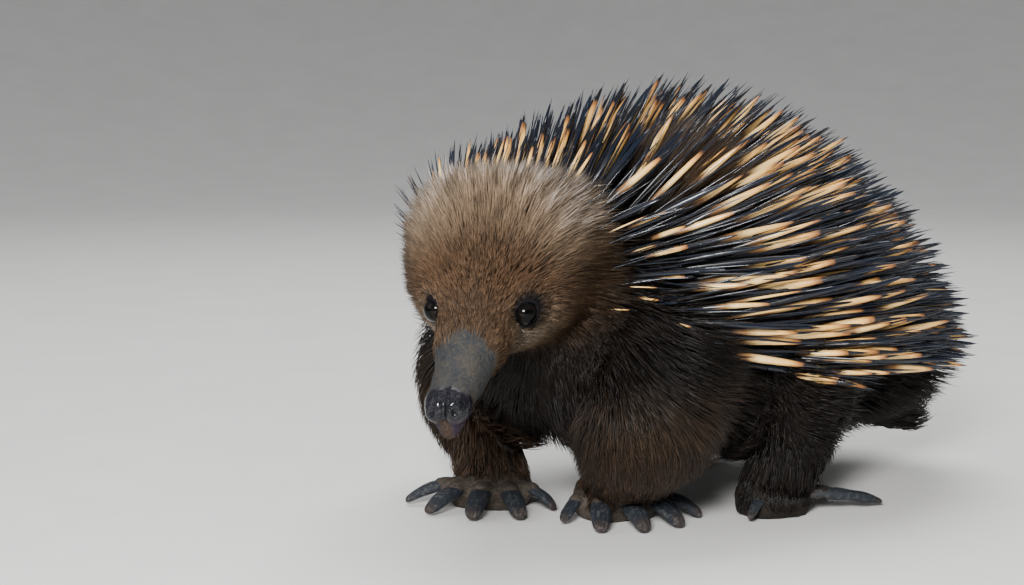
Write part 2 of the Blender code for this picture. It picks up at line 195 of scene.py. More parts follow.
# Shafts: the share along each and how full it is there
LONG_HAIR = ((0.0, 0.75), (0.30, 1.0), (0.68, 0.72), (1.0, 0.0))
HAIR = ((0.0, 0.85), (0.50, 0.90), (1.0, 0.0))
SPINE = (
    (0.0, 0.45), (0.10, 0.72), (0.26, 0.95), (0.45, 1.0),
    (0.62, 0.90), (0.78, 0.66), (0.91, 0.36), (1.0, 0.0),
)
SHAFT_SHAPE = ("start", "bend", "end", "radius")

# Pairs of a distance from the eyes and a value there
HEAD_HAIR_LENGTH = ((0.012, 0.0042), (0.022, 0.0068), (0.034, 0.0110), (0.050, 0.0155), (0.075, 0.0165))
LOCK_CONTRAST = ((0.020, 0.07), (0.045, 0.26))
SPINE_RISE_SIDE = ((0.055, 0.85), (0.085, 0.62), (0.120, 0.44))
SPINE_RISE_TOP = ((0.050, 1.15), (0.080, 0.90), (0.120, 0.64))
SPINE_LONGEST = ((0.042, 0.030), (0.065, 0.042), (0.100, 0.058))
SPINE_SIZE = ((0.046, 0.62), (0.100, 1.0))
SPINE_PALE = ((0.050, 0.58), (0.085, 0.57), (0.115, 0.67))

# Pairs of a height, or of a place along the body, and a value there
LEG_HAIR_LENGTH = ((0.010, 0.007), (0.020, 0.012), (0.040, 0.023), (0.070, 0.028))
SPINE_LOWEST = ((-0.055, 0.084), (-0.030, 0.064), (0.000, 0.054))
PALE_TO_RUMP = ((0.025, 1.0), (0.090, 0.26))

# Colours of the hair; fawn and silver are painted highlight and painted light
DARK_HAIR = (0.0090, 0.0058, 0.0042)
GOLDEN_HAIR = (0.090, 0.054, 0.029)
RED_HAIR = (0.132, 0.067, 0.032)
FAWN_HAIR_PAINTED_LIGHT = (0.250, 0.176, 0.112)
SILVER_HAIR_PAINTED_HIGHLIGHT = (0.460, 0.400, 0.360)

RNG = np.random.default_rng(SEED)


# Numbers and vectors

def unit(values):
    return values / np.maximum(np.linalg.norm(values, axis=-1, keepdims=True), 1e-12)


def dot(a, b):
    return np.sum(a * b, axis=-1)


def smooth_step(low, high, values):
    """0 below low, 1 above high and smooth between."""
    share = np.clip((values - low) / (high - low), 0.0, 1.0)
    return share * share * (3.0 - 2.0 * share)


def fall(low, high, values):
    """1 below low, 0 above high and smooth between."""
    return 1 - smooth_step(low, high, values)


def hump(*parts):
    """1 where every offset is 0, less further out. Each part is an offset and the half width there."""
    return np.exp(-sum((offset / width) ** 2 for offset, width in parts))


def read_off(table, places):
    """Values at places, from a table of places and values."""
    return np.interp(places, *zip(*table))


def turn_share(rise, run):
    """A bearing as a share of a whole turn."""
    return np.arctan2(rise, run) / (2 * math.pi) + 0.5


def mix(a, b, share):
    return a + (b - a) * share


def column(values):
    return values[:, None]


def along_surface(directions, normals):
    """Each direction with its part along the normal taken away, at length one."""
    return unit(directions - column(dot(directions, normals)) * normals)


def waver(points, size, seed):
    """Smooth noise from about -1 to 1, in three parts, that changes over a distance of size."""
    rng = np.random.default_rng(seed)
    total = np.zeros_like(points)
    for _ in range(WAVES):
        waves = rng.normal(size=(3, 3)) / size
        total += np.sin(points @ waves + rng.uniform(0.0, 2.0 * math.pi, 3))
    return total / math.sqrt(WAVES)


# Places on the animal

def middle_of(node):
    low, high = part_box(node)
    return (np.array(low) + np.array(high)) / 2


EYES = {side: middle_of("eye_" + side) for side in ("left", "right")}
EYE_MIDPOINT = (EYES["left"] + EYES["right"]) / 2
EYE_RADIUS = (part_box("eye_left")[1][2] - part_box("eye_left")[0][2]) / 2
FORWARD = np.array([
    math.sin(HEAD_YAW) * math.cos(HEAD_PITCH),
    -math.cos(HEAD_YAW) * math.cos(HEAD_PITCH),
    -math.sin(HEAD_PITCH),
])
ACROSS = np.array([math.cos(HEAD_YAW), math.sin(HEAD_YAW), 0.0])
LIFT = np.cross(FORWARD, ACROSS)
HEAD_ORIGIN = EYE_MIDPOINT - LIFT * BEAK_SAG
UP = np.array([0.0, 0.0, 1.0])
LEVEL = np.array([1.0, 1.0, 0.0])


def from_eyes(points):
    """How far points are from the point between the eyes."""
    return np.linalg.norm(points - EYE_MIDPOINT, axis=1)


def head_place(points):
    """Ahead of the eyes, towards the animal's left and up, in the head's own directions."""
    offset = points - HEAD_ORIGIN
    return offset @ FORWARD, offset @ ACROSS, offset @ LIFT


def from_head(ahead, side, up):
    return HEAD_ORIGIN + FORWARD * ahead + ACROSS * side + LIFT * up


def trunk_place(points):
    """Share of the way to the rump (1) or the chest (-1), and the offset from the trunk's core."""
    along = points[:, 1] - TRUNK_MIDDLE_Y
    share = np.where(along > 0, along / TRUNK_REAR, along / TRUNK_FRONT)
    middle = BEND_RADIUS * (1 - np.cos(along / BEND_RADIUS))
    return share, points[:, 0] - middle, points[:, 2] - CORE_HEIGHT


def trunk_outward(points):
    """The way out from the trunk's core."""
    _, aside, height = trunk_place(points)
    rear = rearward(points)
    sideways = np.stack([rear[:, 1], -rear[:, 0], np.zeros(len(points))], axis=1)
    return unit(sideways * column(aside) + np.outer(height, UP))


def rearward(points):
    turn = (points[:, 1] - TRUNK_MIDDLE_Y) / BEND_RADIUS
    return np.stack([np.sin(turn), np.cos(turn), np.zeros(len(points))], axis=1)


def leg_beads(leg):
    """The middles and radii of the balls that a leg's flesh is made of."""
    foot = middle_of(leg.replace("leg", "foot"))
    stations = np.array(LEG_FLESH[leg])
    stations[:, 0] += foot[0]
    stations[:, 1] += foot[1]
    return spread_stations(stations)


def spread_stations(stations):
    """Balls close enough together to make one smooth limb."""
    places = np.linspace(0, len(stations) - 1, BEADS)
    return np.stack([np.interp(places, range(len(stations)), values) for values in stations.T], axis=1)


LEG_BEADS = {leg: leg_beads(leg) for leg in LEGS}
LEG_MIDDLES = np.array([LEG_BEADS[leg][:, :2].mean(axis=0) for leg in LEGS])
PAWS = np.array([middle_of(foot) for foot in FEET])


def leg_place(points):
    """For each point the nearest leg, and how far it is from that leg's flesh."""
    nearest = np.full(len(points), np.inf)
    which = np.zeros(len(points), int)
    for number, beads in enumerate(LEG_BEADS.values()):
        gaps = np.linalg.norm(points[:, None, :] - beads[None, :, :3], axis=2) - beads[None, :, 3]
        gap = gaps.min(axis=1)
        closer = gap < nearest
        nearest[closer] = gap[closer]
        which[closer] = number
    return which, nearest


# Meshes

def link(item):
    bpy.context.scene.collection.objects.link(item)
    return item


def values_of(items, name, width, kind):
    """One value of every item of a mesh, as rows."""
    values = np.empty(len(items) * width, kind)
    items.foreach_get(name, values)
    return values.reshape(-1, width)


def arrays_of(mesh):
    """A mesh's corners, its triangles and the normals at its corners, as arrays."""
    mesh.calc_loop_triangles()
    corners = values_of(mesh.vertices, "co", 3, np.float32).astype(float)
    normals = values_of(mesh.vertices, "normal", 3, np.float32).astype(float)
    return corners, values_of(mesh.loop_triangles, "vertices", 3, np.int32), normals


def corners_of(mesh):
    return arrays_of(mesh)[0]


def edge_pairs(mesh):
    return values_of(mesh.edges, "vertices", 2, np.int32)


def move_corners(mesh, corners):
    mesh.vertices.foreach_set("co", corners.astype(np.float32).ravel())
    mesh.update()


def mesh_from(name, corners, triangles):
    """A mesh straight from arrays."""
    mesh = bpy.data.meshes.new(name)
    mesh.vertices.add(len(corners))
    mesh.vertices.foreach_set("co", corners.astype(np.float32).ravel())
    mesh.loops.add(triangles.size)
    mesh.loops.foreach_set("vertex_index", triangles.astype(np.int32).ravel())
    mesh.polygons.add(len(triangles))
    mesh.polygons.foreach_set("loop_start", np.arange(0, triangles.size, 3, dtype=np.int32))
    mesh.update(calc_edges=True)
    mesh.shade_smooth()
    return mesh


def mesh_of(cage, name):
    """A new mesh with the cage's faces. The cage is freed."""
    mesh = bpy.data.meshes.new(name)
    cage.to_mesh(mesh)
    cage.free()
    return mesh


def node_cage(node):
    """A node's closed mesh with its loose triangles joined, to work on."""
    cage = bmesh.new()
    cage.from_mesh(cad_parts[node].data)
    bmesh.ops.remove_doubles(cage, verts=cage.verts, dist=MERGE)
    return cage


def grown_node(gathered, node):
    """Add a node's closed mesh to the gathered one, grown all round to close the gap to the next."""
    piece = node_cage(node)
    piece.normal_update()
    for vert in piece.verts:
        vert.co += vert.normal * OVERLAP
    spare = mesh_of(piece, "spare")
    gathered.from_mesh(spare)
    bpy.data.meshes.remove(spare)


def settled(item):
    """A plain mesh of the item with its modifier applied. The item goes."""
    mesh = bpy.data.meshes.new_from_object(item.evaluated_get(bpy.context.evaluated_depsgraph_get()))
    bpy.data.objects.remove(item)
    return mesh


def fused(gathered, voxel):
    """One closed mesh round everything gathered."""
    item = link(bpy.data.objects.new("gathered", mesh_of(gathered, "gathered")))
    remesh = item.modifiers.new("Fuse", "REMESH")
    remesh.mode = "VOXEL"
    remesh.voxel_size = voxel
    return settled(item)


def eased(values, pairs, rounds, strength=None):
    """Values at the corners of a mesh, each drawn towards the average of its neighbours'."""
    count = np.bincount(pairs.ravel(), minlength=len(values))[:, None]
    strength = 0.5 if strength is None else 0.5 * column(strength)
    for _ in range(rounds):
        total = np.zeros_like(values)
        np.add.at(total, pairs[:, 0], values[pairs[:, 1]])
        np.add.at(total, pairs[:, 1], values[pairs[:, 0]])
        values = mix(values, total / np.maximum(count, 1), strength)
    return values


# Skin

def body_coat_depth(corners):
    """How far the coat stands off the skin, over the trunk, the neck and the head."""
    _, aside, height = trunk_place(corners)
    radius = np.maximum(np.hypot(aside, height), 1e-6)
    trunk = mix(TRUNK_COAT, BELLY_COAT, smooth_step(0.35, 0.85, -height / radius))
    ahead, side, up = head_place(corners)
    on_head = smooth_step(-0.085, -0.045, ahead) * fall(0.056, 0.080, np.hypot(side, up))
    return mix(trunk, read_off(HEAD_COAT, ahead), on_head)


def bared_body():
    """The trunk, neck and head without their coat."""
    gathered = bmesh.new()
    for node in FLESH_NODES:
        grown_node(gathered, node)
    mesh = fused(gathered, ROUGH_VOXEL)
    corners, _, normals = arrays_of(mesh)
    pairs = edge_pairs(mesh)
    rear = fall(-0.030, -0.012, head_place(corners)[0])
    normals = unit(mix(normals, eased(normals, pairs, 30), column(rear)))
    depth = eased(column(body_coat_depth(corners)), pairs, 6)
    corners = eased(corners - normals * depth, pairs, 12, rear)
    move_corners(mesh, corners)
    return mesh


def tail_beads():
    stations = np.array(TAIL_FLESH)
    stations[:, :3] += middle_of("tail")
    return spread_stations(stations)


def toe_beads(foot):
    """Balls from a paw along each toe and a little way over its claw."""
    middle = middle_of(foot)
    beads = []
    for toe in range(1, TOES + 1):
        corners = np.unique(corners_of(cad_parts[f"claw_{foot}_{toe}"].data).round(6), axis=0)
        reach = np.linalg.norm(corners - middle, axis=1)
        root = corners[reach < reach.min() + CLAW_ROOT * np.ptp(reach)]
        radius = np.ptp(root[:, 2]) / 2 + TOE_FLESH
        balls = [(mix(middle, root.mean(axis=0), share), radius) for share in TOE_SHARES]
        for share in TOE_OVER_CLAW:
            gap = np.abs(reach - reach.min() - share * np.ptp(reach))
            ring = corners[np.argsort(gap, kind="stable")[:CLAW_RING]]
            balls.append((ring.mean(axis=0), np.ptp(ring[:, 2]) / 2 + TOE_FLESH))
        beads += [(x, y, max(z, radius), radius) for (x, y, z), radius in balls]
    return beads


def add_flesh(gathered):
    """Balls along the legs and toes and from the rump to the tail."""
    for beads in [*LEG_BEADS.values(), *map(toe_beads, FEET), tail_beads()]:
        for x, y, z, radius in beads:
            place = Matrix.Translation((x, y, z))
            bmesh.ops.create_icosphere(gathered, subdivisions=3, radius=radius, matrix=place)


def refined(mesh, inside):
    """Cut every face whose corners all lie inside the marked part into four."""
    cage = bmesh.new()
    cage.from_mesh(mesh)
    cage.verts.ensure_lookup_table()
    edges = [edge for edge in cage.edges if inside[edge.verts[0].index] and inside[edge.verts[1].index]]
    bmesh.ops.subdivide_edges(cage, edges=edges, cuts=1, use_grid_fill=True)
    cage.to_mesh(mesh)
    cage.free()
    mesh.update()


def eye_axis(side):
    """The way an eye looks: outwards and ahead, and a little up."""
    sign = 1 if side == "left" else -1
    ahead, outward, up = EYE_LOOK
    return unit(FORWARD * ahead + ACROSS * outward * sign + LIFT * up)


def sculpt_eye(corners, side):
    """A round opening that shows most of the ball, with thick folded lids round it."""
    axis = eye_axis(side)
    wide = unit(FORWARD - axis * dot(FORWARD, axis))
    tall = np.cross(axis, wide)
    offset = (corners - EYES[side]) / EYE_RADIUS
    rise = offset @ axis
    across, upward = offset @ wide, offset @ tall
    distance = np.hypot(across, upward)
    reach = fall(*LID_ENDS, distance) * (np.abs(rise) < 2.2)
    rim = np.sqrt(np.clip(1.13 - distance ** 2, 0.0, 1.0))
    lid = np.maximum(rim, LID_HEIGHT * hump((distance - LID_MIDDLE, LID_WIDTH)))
    wander = 1.1 * np.sin(3 * np.arctan2(upward, across))
    folds = FOLD_HEIGHT * np.cos(distance * 2 * math.pi / FOLD_SPACING + wander)
    lid += folds * smooth_step(0.92, 1.02, distance) * fall(1.5, 2.0, distance)
    opening = smooth_step(*LID_OPENING, np.hypot(across / 0.99, upward / 0.94))
    target = mix(rise, mix(-0.10, lid, opening), reach)
    return corners + np.outer((target - rise) * EYE_RADIUS, axis)


def sculpt_nose(corners):
    """Two damp lobes with their nostrils at the tip of the beak, and a groove between them."""
    ahead, side, up = head_place(corners)
    at_tip = smooth_step(NOSE_FROM - 0.004, NOSE_FROM + 0.002, ahead)
    at_end = smooth_step(BEAK_END - 0.0045, BEAK_END - 0.0015, ahead)
    move = np.zeros(len(corners))
    for sign in (1, -1):
        for ((aside, width), (high, tall), rise), share in ((LOBE, at_tip), (NOSTRIL, at_end)):
            move += rise * hump((side - sign * aside, width), (up - high, tall)) * share
    move -= 0.0010 * hump((side, 0.0011)) * at_tip * smooth_step(-0.004, -0.002, up)
    move += 0.00009 * waver(corners, 0.0013, 7)[:, 0] * at_tip
    return corners + unit(corners - from_head(NOSE_FROM, 0.0, 0.0)) * column(move)


def sculpt_mouth(corners):
    """The short slit of the mouth under the tip."""
    ahead, _, up = head_place(corners)
    slit = hump((up - MOUTH_UP, 0.00055)) * smooth_step(BEAK_END - 0.013, BEAK_END - 0.009, ahead)
    centre = from_head(0.0, 0.0, MOUTH_UP) + np.outer(ahead, FORWARD)
    return corners - unit(corners - centre) * column(0.0007 * slit)


def sculpt_beak(corners):
    """Faint rings and hollows in the bare skin of the beak."""
    ahead, side, up = head_place(corners)
    bare = smooth_step(0.012, 0.024, ahead) * fall(NOSE_FROM - 0.003, NOSE_FROM, ahead)
    around = np.arctan2(up, side)
    rings = 0.00003 * np.sin(ahead * 2 * math.pi / 0.0024 + 2.6 * np.sin(around * 2))
    dents = 0.00020 * waver(corners, 0.0030, 5)[:, 0] + 0.00008 * waver(corners, 0.0012, 6)[:, 0]
    centre = HEAD_ORIGIN + np.outer(ahead, FORWARD)
    return corners + unit(corners - centre) * column((rings + dents) * bare)


def near_head(corners, start):
    ahead, side, up = head_place(corners)
    return (ahead > start) & (np.hypot(side, up) < 0.045)


def make_skin():
    """One closed skin over the whole animal, finest at the face."""
    gathered = bmesh.new()
    body = bared_body()
    gathered.from_mesh(body)
    bpy.data.meshes.remove(body)
    for node in BARE_NODES + FEET:
        grown_node(gathered, node)
    add_flesh(gathered)
    mesh = fused(gathered, SKIN_VOXEL)
    corners = corners_of(mesh)
    ahead, _, _ = head_place(corners)
    coated = 1 - smooth_step(0.015, 0.022, ahead) * near_head(corners, 0.0)
    coated *= smooth_step(0.012, 0.022, corners[:, 2])
    move_corners(mesh, eased(corners, edge_pairs(mesh), 6, mix(0.25, 1.0, coated)))
    for start in FACE_FROM:
        refined(mesh, near_head(corners_of(mesh), start))
        corners = corners_of(mesh)
        face = near_head(corners, start).astype(float)
        move_corners(mesh, eased(corners, edge_pairs(mesh), 3, face))
    corners = corners_of(mesh)
    for side in EYES:
        corners = sculpt_eye(corners, side)
    corners = sculpt_beak(sculpt_mouth(sculpt_nose(corners)))
    corners[:, 2] = np.maximum(corners[:, 2], 0.0)
    move_corners(mesh, corners)
    mesh.shade_smooth()
    mesh.name = "skin"
    return mesh


# Markings, with painted highlight and painted light on the hair, the same on the skin and on the coat

def markings(points):
    """Shares of golden and reddish hair at each point, and of paler hair that is a painted highlight on top
    of the crown and painted light over partly pale fur under the eyes; what is left is dark brown.
    """
    _, _, up = head_place(points)
    distance = from_eyes(points)
    height = points[:, 2]
    wobble = 0.005 * waver(points, 0.012, 21)[:, 0]
    golden = fall(0.040, 0.060, distance + wobble + 0.6 * np.maximum(-up, 0))
    golden = np.maximum(golden, 0.7 * shoulder_tuft(points))
    red, ring, painted_light_on_pale_cheeks = np.zeros((3, len(points)))
    for eye in EYES.values():
        gap = np.linalg.norm(points - eye, axis=1)
        below = np.linalg.norm(points - eye + LIFT * 0.010 - FORWARD * 0.002, axis=1)
        # Under each eye: painted light where the downward-facing fur falls in shade, over fur that is partly
        # pale
        painted_light_on_pale_cheeks = np.maximum(painted_light_on_pale_cheeks, 0.90 * hump((below, 0.013)))
        red = np.maximum(red, 0.9 * hump((gap, 0.018)))
        ring = np.maximum(ring, fall(1.0 * EYE_RADIUS, 1.32 * EYE_RADIUS, gap + 0.2 * wobble))
    crown = smooth_step(0.016, 0.042, distance) * fall(0.048, 0.062, distance)
    # On the crown: a painted highlight, paler hair only where the head faces up
    silver = crown * smooth_step(0.000, 0.018, up) * (0.80 + 0.20 * waver(points, 0.010, 22)[:, 1]) + painted_light_on_pale_cheeks
    which, gap = leg_place(points)
    on_foreleg = fall(*ON_LEG, gap) * fall(0.052, 0.070, height) * (which < 2)
    golden = np.maximum(golden, 0.24 * on_foreleg)
    red = np.maximum(red, 0.16 * on_foreleg * fall(0.020, 0.060, height))
    shares = {"golden": golden, "red": red, "silver": np.clip(silver, 0, 1)}
    return {name: share * (1 - ring) for name, share in shares.items()}


def set_values(mesh, values):
    for name, numbers in values.items():
        attribute = mesh.attributes.new(name, "FLOAT", "POINT")
        attribute.data.foreach_set("value", numbers.astype(np.float32))


# Finishes

class Wire:
    """A socket of a shader tree. Sums on it add their Math nodes."""

    def __init__(self, tree, socket):
        self.tree = tree
        self.socket = socket

    def joined(self, operation, first, second):
        node = self.tree.nodes.new("ShaderNodeMath")
        node.operation = operation
        for place, value in enumerate((first, second)):
            if isinstance(value, Wire):
                self.tree.links.new(value.socket, node.inputs[place])
            else:
                node.inputs[place].default_value = value
        return Wire(self.tree, node.outputs[0])

    def __add__(self, other):
        return self.joined("ADD", self, other)

    __radd__ = __add__

    def __mul__(self, other):
        return self.joined("MULTIPLY", self, other)

    __rmul__ = __mul__

    def __sub__(self, other):
        return self.joined("SUBTRACT", self, other)

    def __rsub__(self, other):
        return self.joined("SUBTRACT", other, self)

    def at_most(self, other):
        return self.joined("MINIMUM", self, other)


MIX_SHARE, MIX_FIRST, MIX_SECOND, MIX_RESULT = 0, 6, 7, 2      # a Mix node's sockets for colours


class Finish:
    """A material with one Principled shader, and short ways to add nodes to it."""

    def __init__(self, name, **fixed):
        self.material = bpy.data.materials.new(name)
        self.material.use_nodes = True
        self.tree = self.material.node_tree
        self.shader = self.tree.nodes["Principled BSDF"]
        for socket, value in fixed.items():
            self.shader.inputs[socket.replace("_", " ")].default_value = value

    def node(self, kind, settings=(), inputs=(), output=0):
        made = self.tree.nodes.new(kind)
        for name, value in dict(settings).items():
            if name == "stops":
                self.set_stops(made.color_ramp, value)
            else:
                setattr(made, name, value)
        for place, value in dict(inputs).items():
            if isinstance(value, Wire):
                self.tree.links.new(value.socket, made.inputs[place])
            else:
                made.inputs[place].default_value = value
        return Wire(self.tree, made.outputs[output])

    def set_stops(self, ramp, stops):
        while len(ramp.elements) < len(stops):
            ramp.elements.new(0.5)
        for element, (place, colour) in zip(ramp.elements, stops):
            element.position = place
            element.color = (*colour, 1.0)

    def value(self, name):
        return self.node("ShaderNodeAttribute", {"attribute_name": name}, output="Fac")

    def place(self):
        return self.node("ShaderNodeTexCoord", output="Object")

    def noise(self, scale, detail=3.0, roughness=0.55, where=None):
        inputs = {"Vector": where or self.place(), "Scale": scale, "Detail": detail, "Roughness": roughness}
        return self.node("ShaderNodeTexNoise", {}, inputs, output="Fac")

    def between(self, value, low, high):
        """A smooth 0 to 1 as value goes from low to high."""
        inputs = {"Value": value, "From Min": low, "From Max": high}
        return self.node("ShaderNodeMapRange", {"interpolation_type": "SMOOTHSTEP"}, inputs)

    def mixed(self, share, first, second, settings=()):
        ends = [end if isinstance(end, Wire) else (*end, 1.0) for end in (first, second)]
        inputs = {MIX_SHARE: share, MIX_FIRST: ends[0], MIX_SECOND: ends[1]}
        return self.node("ShaderNodeMix", {"data_type": "RGBA", **dict(settings)}, inputs, MIX_RESULT)

    def colours(self, first, second, share):
        """One colour turning into another."""
        return self.mixed(share, first, second)

    def dimmed(self, colour, share):
        """A colour times a number."""
        grey = self.node("ShaderNodeCombineColor", {}, {0: share, 1: share, 2: share})
        return self.mixed(1.0, colour, grey, {"blend_type": "MULTIPLY"})

    def ramp(self, value, stops):
        return self.node("ShaderNodeValToRGB", {"stops": stops}, {0: value})

    def bump(self, height, strength, distance, under=None):
        inputs = {"Height": height, "Strength": strength, "Distance": distance}
        if under:
            inputs["Normal"] = under
        return self.node("ShaderNodeBump", {}, inputs)

    def wear(self, **varied):
        for socket, wire in varied.items():
            self.tree.links.new(wire.socket, self.shader.inputs[socket.replace("_", " ")])
        return self.material


def marked_colour(finish):
    """Dark brown, golden and reddish hair by the markings."""
    colour = finish.colours(DARK_HAIR, GOLDEN_HAIR, finish.value("golden"))
    return finish.colours(colour, RED_HAIR, finish.value("red"))


def fur_finish():
    finish = Finish("fur", Roughness=0.45, Specular_IOR_Level=0.28)
    along = finish.value("along")
    tint = finish.value("tint")
    silver = finish.value("silver")
    # Fawn where the share carries painted highlight or painted light
    colour = finish.colours(marked_colour(finish), FAWN_HAIR_PAINTED_LIGHT, finish.between(silver, 0.0, 0.65))
    # Silver tips on some hairs: a painted highlight
    tips = finish.between(silver, 0.45, 1.0) * finish.between(along, 0.10, 0.85)
    tips = tips * finish.between(tint, 0.42, 0.86)
    colour = finish.colours(colour, SILVER_HAIR_PAINTED_HIGHLIGHT, tips)
    # Darker towards each hair's root: painted shade between the hairs; the tint part is the hairs' own
    # random tone
    light = (0.16 + 1.05 * along) * (0.20 + 1.52 * tint)
    return finish.wear(Base_Color=finish.dimmed(colour, light))


def spine_finish():
    """Dark at the root, cream, a rusty change and a glossy blue-black point, whose blue on the dark spines
    is partly painted sheen.
    """
    finish = Finish("spines", Specular_IOR_Level=0.36, Coat_Weight=0.28, Coat_Roughness=0.07)
    along = finish.value("along")
    tint = finish.value("tint")
    pale = finish.value("pale")
    streaks = finish.noise(900.0, 2.0)
    place = along + 0.22 * (tint - 0.5) + 0.05 * (streaks - 0.5)
    bands = finish.ramp(place, (
        (0.28, (0.012, 0.009, 0.008)),
        (0.41, (0.280, 0.140, 0.052)),
        (0.51, (0.950, 0.650, 0.270)),
        (0.72, (0.930, 0.520, 0.145)),
        (0.81, (0.360, 0.150, 0.045)),
        (0.86, (0.006, 0.007, 0.010)),
    ))
    # Dark spines: the bluish cast that grows towards the point is partly painted sheen
    dark = finish.ramp(along, (
        (0.10, (0.008, 0.006, 0.005)),
        (0.45, (0.004, 0.006, 0.011)),
        (0.95, (0.006, 0.010, 0.020)),
    ))
    colour = finish.colours(dark, bands, pale)
    colour = finish.dimmed(colour, 0.84 + 0.32 * tint)
    rough = 0.19 + 0.20 * finish.between(along, 0.75, 0.30)
    ridges = finish.bump(streaks, 0.15, 0.0002)
    return finish.wear(Base_Color=colour, Roughness=rough, Normal=ridges)


def skin_finish():
    """Dark skin under the coat, mottled bare skin on the beak and paws, and the damp nose."""
    finish = Finish("skin", Specular_IOR_Level=0.12, Coat_Roughness=0.06)
    broad = finish.noise(110.0, 5.0, 0.6)
    fine = finish.noise(900.0, 3.0, 0.6)
    spots = 0.5 * broad + 0.5 * fine
    nose, wet, lid = map(finish.value, ("nose", "wet", "lid"))
    beak = finish.ramp(spots, (
        (0.36, (0.018, 0.021, 0.025)),
        (0.47, (0.029, 0.030, 0.032)),
        (0.57, (0.050, 0.044, 0.035)),
        (0.70, (0.034, 0.034, 0.034)),
    ))
    paw = finish.ramp(spots, (
        (0.35, (0.026, 0.021, 0.017)),
        (0.50, (0.050, 0.041, 0.033)),
        (0.66, (0.090, 0.074, 0.060)),
    ))
    lip = finish.ramp(fine, ((0.3, (0.020, 0.013, 0.010)), (0.7, (0.044, 0.029, 0.022))))
    damp = finish.ramp(broad, ((0.35, (0.0015, 0.002, 0.0035)), (0.65, (0.007, 0.006, 0.011))))
    damp = finish.colours((0.022, 0.014, 0.025), damp, wet)
    colour = finish.dimmed(marked_colour(finish), 0.35 + 0.5 * fine)
    for bare, share in (
        (beak, finish.value("beak")),
        (paw, finish.value("paw")),
        (lip, finish.value("lip")),
        (damp, nose),
        ((0.006, 0.005, 0.006), lid),
    ):
        colour = finish.colours(colour, bare, share)
    rough = 0.66 - 0.38 * wet + 0.24 * lid + 0.12 * (fine - 0.5)
    cells = finish.node(
        "ShaderNodeTexVoronoi", {"feature": "DISTANCE_TO_EDGE"}, {"Vector": finish.place(), "Scale": 1100.0})
    pores = finish.bump(cells.at_most(0.25), 0.55, 0.0005)
    beads = 1.6 * nose * finish.noise(700.0, 2.0)
    folds = finish.bump(broad + 0.7 * fine + beads, 0.6, 0.0012, pores)
    return finish.wear(Base_Color=colour, Roughness=rough, Coat_Weight=0.42 * wet, Normal=folds)


def claw_finish():
    finish = Finish("claw", Specular_IOR_Level=0.28)
    along = finish.value("along")
    stretched = finish.node("ShaderNodeCombineXYZ", {}, {0: 9.0 * finish.value("across"), 1: 1.6 * along})
    lines = finish.noise(1.0, 3.0, 0.6, stretched)
    blotches = finish.noise(260.0, 3.0)
    colour = finish.ramp(along + 0.25 * (blotches - 0.5) + 0.18 * (lines - 0.5), (
        (0.08, (0.052, 0.045, 0.039)),
        (0.34, (0.018, 0.022, 0.029)),
        (0.84, (0.013, 0.017, 0.023)),
        (1.00, (0.030, 0.021, 0.018)),
    ))
    scuffs = finish.noise(620.0, 5.0, 0.7)
    colour = finish.colours(colour, (0.105, 0.098, 0.090), 0.75 * finish.between(scuffs, 0.50, 0.70))
    rough = 0.36 + 0.34 * blotches
    grooves = finish.bump(lines + 0.6 * scuffs, 0.9, 0.0012)
    return finish.wear(Base_Color=colour, Roughness=rough, Normal=grooves)


def eye_finish():
    """A wet dark eye: a deep brown iris round a black pupil."""
    finish = Finish("eye", Specular_IOR_Level=0.13, Roughness=0.04)
    out = finish.value("out")
    fibres = finish.noise(1500.0, 2.0)
    colour = finish.ramp(out + 0.04 * (fibres - 0.5), (
        (0.00, (0.001, 0.001, 0.001)),
        (0.34, (0.001, 0.001, 0.001)),
        (0.40, (0.006, 0.004, 0.003)),
        (0.62, (0.003, 0.003, 0.003)),
        (0.72, (0.002, 0.002, 0.003)),
    ))
    return finish.wear(Base_Color=colour)


def floor_finish():
    finish = Finish("floor", Roughness=0.75)
    grain = finish.noise(18.0, 2.0)
    return finish.wear(Base_Color=finish.ramp(grain, ((0.3, (0.76, 0.75, 0.73)), (0.7, (0.80, 0.79, 0.77)))))


# Pieces

def finished_piece(name, mesh, finish):
    mesh.name = name
    mesh.materials.clear()
    mesh.materials.append(finish)
    piece = link(bpy.data.objects.new(name, mesh))
    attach(piece, BODY)
    return piece


def lid_share(corners, ragged):
    """1 on the eyelids."""
    lid = np.zeros(len(corners))
    for eye in EYES.values():
        distance = np.linalg.norm(corners - eye, axis=1) / EYE_RADIUS
        lid = np.maximum(lid, fall(1.45, 1.85, distance + ragged / EYE_RADIUS * 2))
    return lid


def paw_share(corners):
    """1 on the bare forefeet, a little on the hind feet."""
    paw = np.zeros(len(corners))
    for foot in FEET:
        low, high = map(np.array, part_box(foot))
        gap = np.linalg.norm(np.maximum(np.maximum(low - corners, corners - high), 0), axis=1)
        bare = 1.0 if foot.startswith("fore") else 0.2
        paw = np.maximum(paw, bare * fall(0.007, 0.011, gap))
    return paw


